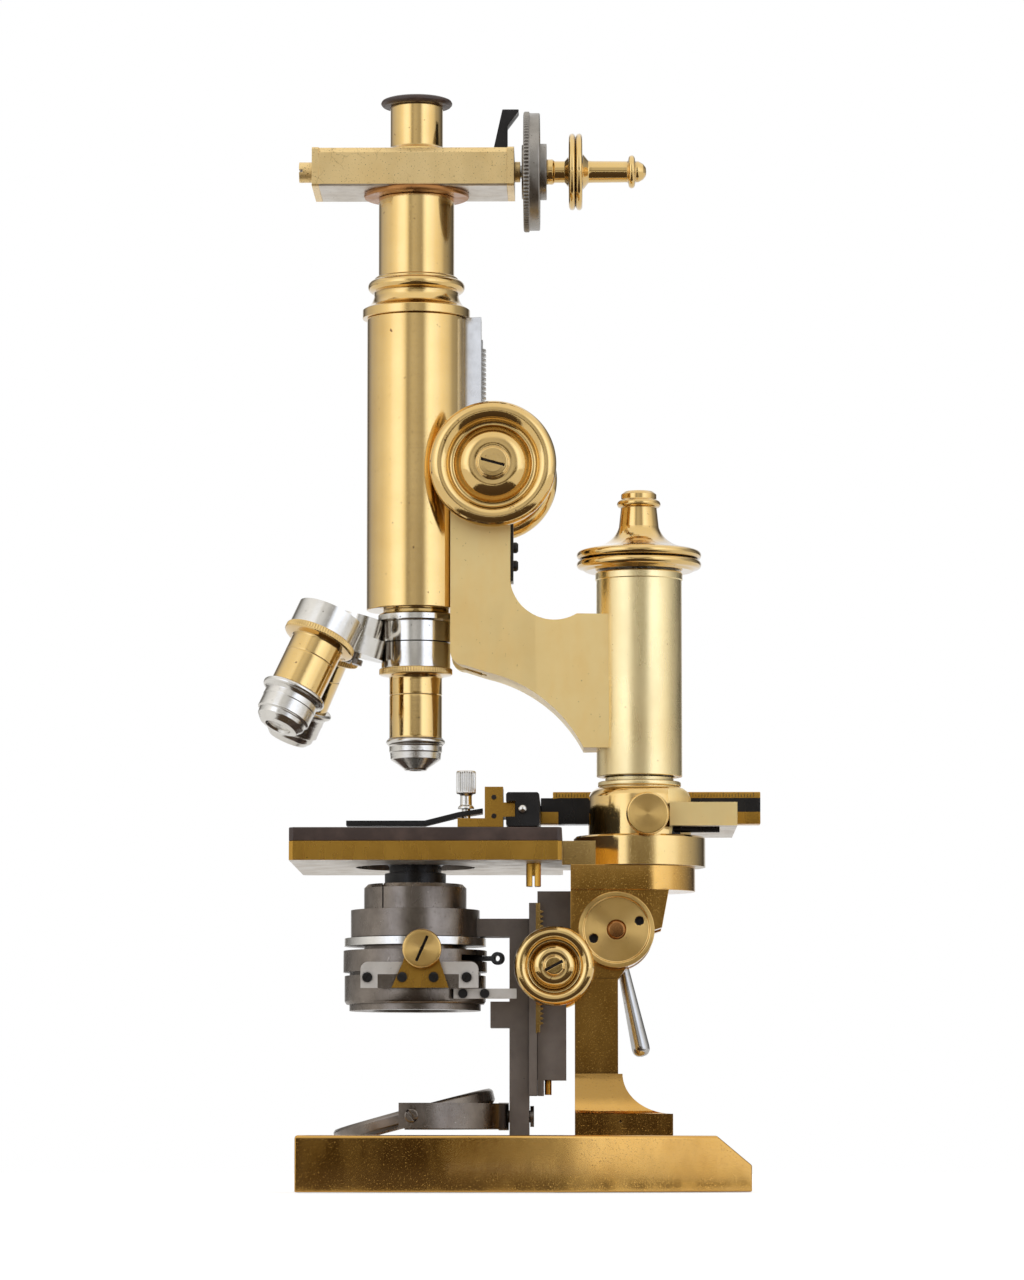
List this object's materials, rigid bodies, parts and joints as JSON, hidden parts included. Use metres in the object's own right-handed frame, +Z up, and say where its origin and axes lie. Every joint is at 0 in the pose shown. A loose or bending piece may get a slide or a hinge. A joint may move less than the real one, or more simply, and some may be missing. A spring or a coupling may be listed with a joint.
{
  "type": "compound microscope",
  "caption": "Compound microscope on a horseshoe foot: inclining limb, coarse and fine focus, turning nosepiece, mechanical stage, focusing substage, tilting mirror and micrometer eyepiece.",
  "frame": {"origin": "on the resting face of the foot, under the centreline of the pillar", "axes": "+Z up, +X from the mirror towards the back of the pillar, +Y away from the pictured side"},
  "size_m": [0.1635, 0.1, 0.3598],
  "materials": {
    "lacquered_brass": "polished and lacquered, worn",
    "copper_brass": "reddish worn brass",
    "pale_brass": "pitted",
    "nickel": "bright nickel, a little clouded",
    "steel": "oiled",
    "black_lacquer": "worn black",
    "ebonite": "vulcanite top, satin",
    "lens_glass": "clear",
    "mirror_silver": "silvered"
  },
  "bodies": {
    "stand": {"horseshoe_foot": "lacquered_brass", "pillar": "lacquered_brass"},
    "bracket": {"inclination_axle": "copper_brass", "joint_cap": "lacquered_brass", "stage_bracket": "lacquered_brass", "stage_frame": "lacquered_brass", "stage_cover": "ebonite", "stage_stop_pin": "lacquered_brass", "limb_post": "lacquered_brass", "focus_prism": "steel", "focus_spring": "steel", "clamp_collar": "lacquered_brass", "substage_block": "black_lacquer"},
    "lever": {"clamp_lever": "nickel"},
    "limb": {"limb_cylinder": "lacquered_brass", "limb_arm": "lacquered_brass", "gib_plate": "nickel"},
    "fine_head": {"fine_focus_head": "lacquered_brass", "fine_focus_screw": "steel"},
    "tube": {"body_tube": "lacquered_brass", "tube_slide": "lacquered_brass", "tube_collar": "lacquered_brass", "nosepiece_plate": "nickel", "turret_pivot": "nickel"},
    "coarse_drive": {"coarse_pinion": "steel", "coarse_knobs": "lacquered_brass", "knob_screws": "nickel"},
    "draw": {"draw_tube": "lacquered_brass"},
    "eyepiece": {"eyepiece_sleeve": "copper_brass", "micrometer_box": "pale_brass", "box_end_plates": "pale_brass", "eye_tube": "pale_brass", "eye_cap": "ebonite", "eyepiece_lenses": "lens_glass", "index_pointer": "black_lacquer"},
    "drum": {"graduated_drum": "steel", "drum_handle": "lacquered_brass", "micrometer_spindle": "pale_brass"},
    "hairs": {"hair_carriage": "steel"},
    "turret": {"nosepiece_turret": "nickel", "high_objective": "lacquered_brass", "low_objective": "lacquered_brass", "medium_objective": "lacquered_brass", "objective_noses": "nickel"},
    "traverse": {"traverse_bar": "black_lacquer", "cross_slide": "black_lacquer"},
    "carriage": {"stage_carriage": "lacquered_brass", "specimen_finger": "black_lacquer", "finger_nut": "nickel"},
    "collar_screw": {"clamp_thumbscrew": "lacquered_brass"},
    "substage": {"substage_bar": "black_lacquer", "condenser": "black_lacquer"},
    "substage_drive": {"substage_pinion": "lacquered_brass"},
    "iris": {"iris_carrier": "black_lacquer", "iris_plate": "nickel"},
    "iris_screw": {"iris_thumbscrew": "lacquered_brass"},
    "iris_ring": {"iris_lever": "steel"},
    "fork": {"mirror_fork": "black_lacquer"},
    "mirror": {"mirror_cell": "black_lacquer", "mirror_glass": "mirror_silver"}
  },
  "joints": [
    {"name": "inclination", "type": "hinge", "parent": "stand", "child": "bracket", "pos_m": [0.0065, 0, 0.0841], "axis": [0, 1, 0], "range_deg": [0, 90]},
    {"name": "lever_turn", "type": "hinge", "parent": "bracket", "child": "lever", "pos_m": [0.0065, 0.02, 0.0841], "axis": [0, 1, 0], "range_deg": [-60, 25]},
    {"name": "fine_slide", "type": "slide", "parent": "bracket", "child": "limb", "axis": [0, 0, 1], "range_m": [-0.0015, 0.0015], "deforming": ["focus_spring"]},
    {"name": "fine_turn", "type": "hinge", "parent": "limb", "child": "fine_head", "pos_m": [0.0142, 0, 0.2], "axis": [0, 0, 1], "range_deg": [-1080, 1080]},
    {"name": "coarse_slide", "type": "slide", "parent": "limb", "child": "tube", "axis": [0, 0, 1], "range_m": [-0.018, 0.035]},
    {"name": "coarse_turn", "type": "hinge", "parent": "limb", "child": "coarse_drive", "pos_m": [-0.0334, 0, 0.2355], "axis": [0, 1, 0], "range_deg": [-350, 680]},
    {"name": "draw_slide", "type": "slide", "parent": "tube", "child": "draw", "axis": [0, 0, 1], "range_m": [-0.025, 0.035]},
    {"name": "eyepiece_turn", "type": "hinge", "parent": "draw", "child": "eyepiece", "pos_m": [-0.059, 0, 0.33], "axis": [0, 0, 1], "continuous": true},
    {"name": "drum_turn", "type": "hinge", "parent": "eyepiece", "child": "drum", "pos_m": [-0.02, 0, 0.3354], "axis": [1, 0, 0], "range_deg": [-1800, 1800]},
    {"name": "hair_slide", "type": "slide", "parent": "eyepiece", "child": "hairs", "axis": [1, 0, 0], "range_m": [-0.0025, 0.0025]},
    {"name": "turret_turn", "type": "hinge", "parent": "tube", "child": "turret", "pos_m": [-0.059, 0, 0.2465], "axis": [-0.2756, 0, -0.9613], "continuous": true},
    {"name": "traverse_slide", "type": "slide", "parent": "bracket", "child": "traverse", "axis": [1, 0, 0], "range_m": [-0.012, 0.012]},
    {"name": "carriage_slide", "type": "slide", "parent": "traverse", "child": "carriage", "axis": [0, 1, 0], "range_m": [-0.004, 0.024]},
    {"name": "collar_screw_turn", "type": "hinge", "parent": "bracket", "child": "collar_screw", "pos_m": [0.0166, -0.022, 0.1213], "axis": [0, -1, 0], "range_deg": [-360, 0]},
    {"name": "substage_slide", "type": "slide", "parent": "bracket", "child": "substage", "axis": [0, 0, 1], "range_m": [-0.005, 0.003]},
    {"name": "substage_turn", "type": "hinge", "parent": "bracket", "child": "substage_drive", "pos_m": [-0.0136, 0, 0.0723], "axis": [0, 1, 0], "range_deg": [-75, 45]},
    {"name": "iris_shift", "type": "slide", "parent": "substage", "child": "iris", "axis": [1, 0, 0], "range_m": [-0.004, 0.0005]},
    {"name": "iris_screw_turn", "type": "hinge", "parent": "iris", "child": "iris_screw", "pos_m": [-0.0559, -0.028, 0.0776], "axis": [0, -1, 0], "range_deg": [-17.19, 137.51]},
    {"name": "iris_open", "type": "hinge", "parent": "iris", "child": "iris_ring", "pos_m": [-0.059, 0, 0.075], "axis": [0, 0, 1], "range_deg": [-20, 20]},
    {"name": "fork_tilt", "type": "hinge", "parent": "substage", "child": "fork", "pos_m": [-0.0282, 0, 0.0243], "axis": [1, 0, 0], "range_deg": [-10, 10]},
    {"name": "mirror_tilt", "type": "hinge", "parent": "fork", "child": "mirror", "pos_m": [-0.0592, 0, 0.0243], "axis": [0, 1, 0], "range_deg": [-20, 50]}
  ],
  "couplings": [
    {"joint": "fine_turn", "follows": "fine_slide", "rad_per_m": 12566},
    {"joint": "coarse_turn", "follows": "coarse_slide", "rad_per_m": 333.33},
    {"joint": "hair_slide", "follows": "drum_turn", "m_per_rad": 0.000079577},
    {"joint": "substage_turn", "follows": "substage_slide", "rad_per_m": 250},
    {"joint": "iris_screw_turn", "follows": "iris_shift", "rad_per_m": -600}
  ]
}
